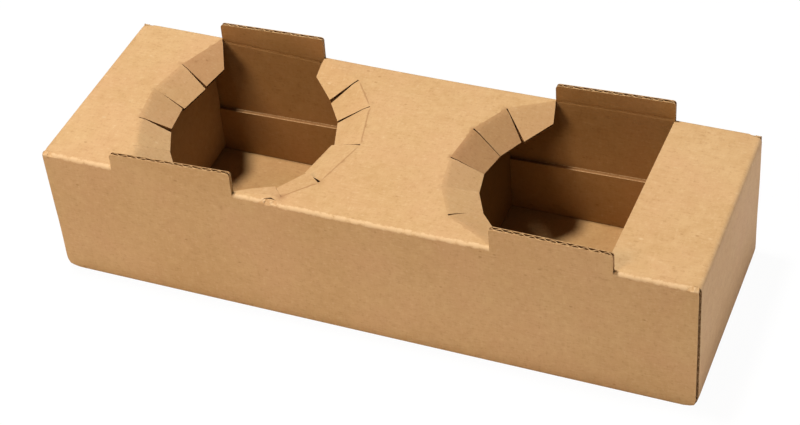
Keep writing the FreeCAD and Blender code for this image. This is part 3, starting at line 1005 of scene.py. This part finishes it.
def make_kraft(name, shade_colour):
    """A smooth liner: mottled kraft paper with long fibres, flecks, scuffed folds, painted highlights and
    painted shade.
    """
    n = Nodes(bpy.data.materials.new(name))
    here = n.place()
    clouds = n.noise(here, scale=22, detail=3, roughness=0.5)
    mottle = n.noise(here, scale=260, detail=6, roughness=0.62)
    colour = n.mix(n.ranged(n.sum_of(clouds, 0.45, mottle, 0.55), 0.36, 0.64), KRAFT_DARK, KRAFT_LIGHT)
    colour = n.mix(0.4, colour, KRAFT)
    patches = n.noise(here, scale=48, detail=4, roughness=0.55)
    colour = n.mix(n.ranged(patches, 0.42, 0.66, 0.0, 0.4), colour, KRAFT_RUDDY)

    grain = n.noise(n.place((420, 1500, 1500)), scale=1.0, detail=5, roughness=0.65, distortion=0.4)
    cross_fibres = n.noise(n.place((1300, 520, 520), turn=(0, 0, 0.5)), scale=1.0, detail=4, roughness=0.6,
                           distortion=0.3)
    fibres = n.sum_of(grain, 0.6, cross_fibres, 0.4)
    colour = n.mix(n.ranged(fibres, 0.54, 0.70, 0.0, 0.45), colour, FIBRE_LIGHT)
    colour = n.mix(n.ranged(fibres, 0.47, 0.31, 0.0, 0.45), colour, FIBRE_DARK)

    # Dark and pale flecks, in the few cells with a high enough random value
    near, chance = n.cells(n.place((1.0, 1.6, 1.6)), scale=210)
    for value, least, edge, middle, tint in ((chance[0], 0.90, 0.16, 0.07, FIBRE_DARK),
                                             (chance[1], 0.93, 0.2, 0.08, FIBRE_LIGHT)):
        fleck = n.math("MULTIPLY", n.ranged(near, edge, middle), n.math("GREATER_THAN", value, least))
        colour = n.mix(n.math("MULTIPLY", fleck, 0.5), colour, tint)

    # Painted shade: darker paper on the tabs that face away from the key, along the marked hinge lines and
    # at the flap's top edge
    rubbed = n.math("MULTIPLY", n.attribute("rubbed"), n.ranged(mottle, 0.25, 0.6, 0.8, 1.1))
    colour = n.mix(rubbed, colour, n.mix(1.0, colour, PAINTED_SHADE_TINT, "MULTIPLY"))
    # Lighter paper for scuffs along the folds, and for painted highlights along the scores and the top of
    # the flap
    wear = n.attribute("wear")
    rough = n.noise(here, scale=480, detail=6, roughness=0.75)
    ragged = n.math("ADD", wear, n.ranged(rough, 0.3, 0.7, -0.34, 0.22))
    scuff_and_highlight = n.math("MULTIPLY", n.ranged(ragged, 0.42, 0.62), n.math("GREATER_THAN", wear, 0.02))
    colour = n.mix(n.math("MULTIPLY", scuff_and_highlight, 0.62), colour, SCUFF_AND_HIGHLIGHT)

    # The flutes show through the liner as very low ribs
    ribs = n.math("SINE", n.math("MULTIPLY", n.attribute("flute_place"), 2 * math.pi / FLUTE_PITCH))
    soft = n.bump(n.math("MULTIPLY", ribs, 0.5), distance=0.000014)
    relief = n.bump(n.sum_of(mottle, 0.6, fibres, 0.8), distance=0.00008, strength=0.7, Normal=soft)
    return n.finish(Base_Color=n.mix(1.0, colour, shade_colour, "MULTIPLY"), Normal=relief,
                    Roughness=n.ranged(mottle, 0.3, 0.7, 0.72, 0.9), Specular_IOR_Level=0.22)


def make_cut(name, noise, spread, dark, light, relief):
    """A rough face inside the board or on its cut edge."""
    n = Nodes(bpy.data.materials.new(name))
    rough = n.noise(n.place(), **noise)
    return n.finish(Base_Color=n.mix(n.ranged(rough, *spread), dark, light), Roughness=0.95,
                    Specular_IOR_Level=0.1, Normal=n.bump(rough, **relief))


core = make_cut("kraft_medium", dict(scale=900, detail=5, roughness=0.65), (0.35, 0.65),
                MEDIUM_DARK, MEDIUM_BROWN, dict(distance=0.0001, strength=0.7))
cut_edge = make_cut("kraft_cut_edge", dict(scale=1400, detail=4, roughness=0.7), (0.36, 0.62),
                    CUT_BROWN, CUT_LIGHT, dict(distance=0.00012, strength=0.8))
kraft_liner = make_kraft("kraft_liner", OUTER_SHADE)
inner_liner = make_kraft("inner_liner", INNER_SHADE)
# The divider's liner carries painted shade
divider_painted_shade_liner = make_kraft("divider_painted_shade_liner", DIVIDER_PAINTED_SHADE)

carrier_board = Board()
make_wrap(carrier_board)
for ear in EARS:
    make_ear(carrier_board, ear)
for side in (-1, 1):
    make_end(carrier_board, side)
carrier = carrier_board.make_object("carrier_board", [kraft_liner, core, cut_edge, inner_liner])
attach(carrier, "root")
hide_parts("carrier")

divider_board = Board()
make_divider(divider_board)
divider = divider_board.make_object("divider_board", [divider_painted_shade_liner, core, cut_edge, divider_painted_shade_liner])
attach(divider, "root")
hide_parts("divider")


# Floor, world, lamps and camera
FLOOR_HALF = 2.5
FLOOR_PAPER = (0.86, 0.86, 0.86, 1.0)
FLOOR_SHADED = (0.03, 0.03, 0.03, 1.0)
FLOOR_GLOW = 0.965
AMBIENT = (1.0, 0.88, 0.70, 1.0)
WHITE = (1.0, 1.0, 1.0, 1.0)
WORLD_LEVEL = 0.12
LAMP_AIM = (0, 0, 0.03)
END_LAMP_AIM = (0.1, 0, 0.018)


# The floor is white paper. The camera sees it as white, with the faint shadow of the object.
floor_nodes = Nodes(bpy.data.materials.new("white_floor"))
paper = floor_nodes.add("BsdfDiffuse", Color=FLOOR_PAPER)
glow = floor_nodes.add("Emission", Color=WHITE, Strength=FLOOR_GLOW)
shaded = floor_nodes.add("BsdfDiffuse", Color=FLOOR_SHADED)
glow_and_shade = floor_nodes.add("AddShader", glow.outputs[0], shaded.outputs[0])
floor_nodes.choose_by_camera(paper, glow_and_shade, "OutputMaterial")
floor_mesh = bpy.data.meshes.new("floor")
floor_corners = [(x * FLOOR_HALF, y * FLOOR_HALF, 0) for x, y in ((-1, -1), (1, -1), (1, 1), (-1, 1))]
floor_mesh.from_pydata(floor_corners, [], [(0, 1, 2, 3)])
floor = bpy.data.objects.new("floor", floor_mesh)
bpy.context.scene.collection.objects.link(floor)
floor.data.materials.append(floor_nodes.owner)

world_nodes = Nodes(bpy.data.worlds.new("studio"))
bpy.context.scene.world = world_nodes.owner
ambient = world_nodes.add("Background", Color=AMBIENT, Strength=WORLD_LEVEL)
backdrop = world_nodes.add("Background", Color=WHITE, Strength=1.0)
world_nodes.choose_by_camera(ambient, backdrop, "OutputWorld")


def add_lamp(name, place, aim, size, power, colour):
    lamp = bpy.data.lights.new(name, "AREA")
    lamp.shape = "ELLIPSE"
    lamp.size, lamp.size_y = size
    lamp.energy = power
    lamp.color = colour
    made = bpy.data.objects.new(name, lamp)
    made.location = place
    made.rotation_mode = "QUATERNION"
    made.rotation_quaternion = (Vector(aim) - Vector(place)).to_track_quat("-Z", "Y")
    bpy.context.scene.collection.objects.link(made)


# The key hangs high over the left part of the carrier. A warm fill lights its front from the left,
# and a weak, cool and flat one its right end from just over the floor.
add_lamp("key", (-0.18, 0.035, 1.20), LAMP_AIM, (0.16, 0.16), 18.2, (1.0, 0.99, 0.97))
add_lamp("high_fill", (-0.23, -0.55, 0.46), LAMP_AIM, (0.3, 0.3), 2.2, (1.0, 0.755, 0.53))
add_lamp("end_fill", (0.50, 0.05, 0.018), END_LAMP_AIM, (0.3, 0.03), 0.65, (0.80, 0.78, 1.0))

# The camera, as it was fitted to the corners of the box
camera_data = bpy.data.cameras.new("camera")
camera_data.sensor_width = 36.0
camera_data.lens = 90.28
camera_data.clip_start = 0.01
camera_data.clip_end = 20.0
camera = bpy.data.objects.new("camera", camera_data)
right = (0.9276989, 0.3662465, -0.07237579)
up = (-0.19215879, 0.63465577, 0.74852325)
back = (0.32007773, -0.68049655, 0.65914694)
place = (0.21466, -0.45872, 0.46520)
camera.matrix_world = Matrix([(right[k], up[k], back[k], place[k]) for k in range(3)] + [(0, 0, 0, 1)])
bpy.context.scene.collection.objects.link(camera)
bpy.context.scene.camera = camera
bpy.context.scene.view_settings.view_transform = "Standard"
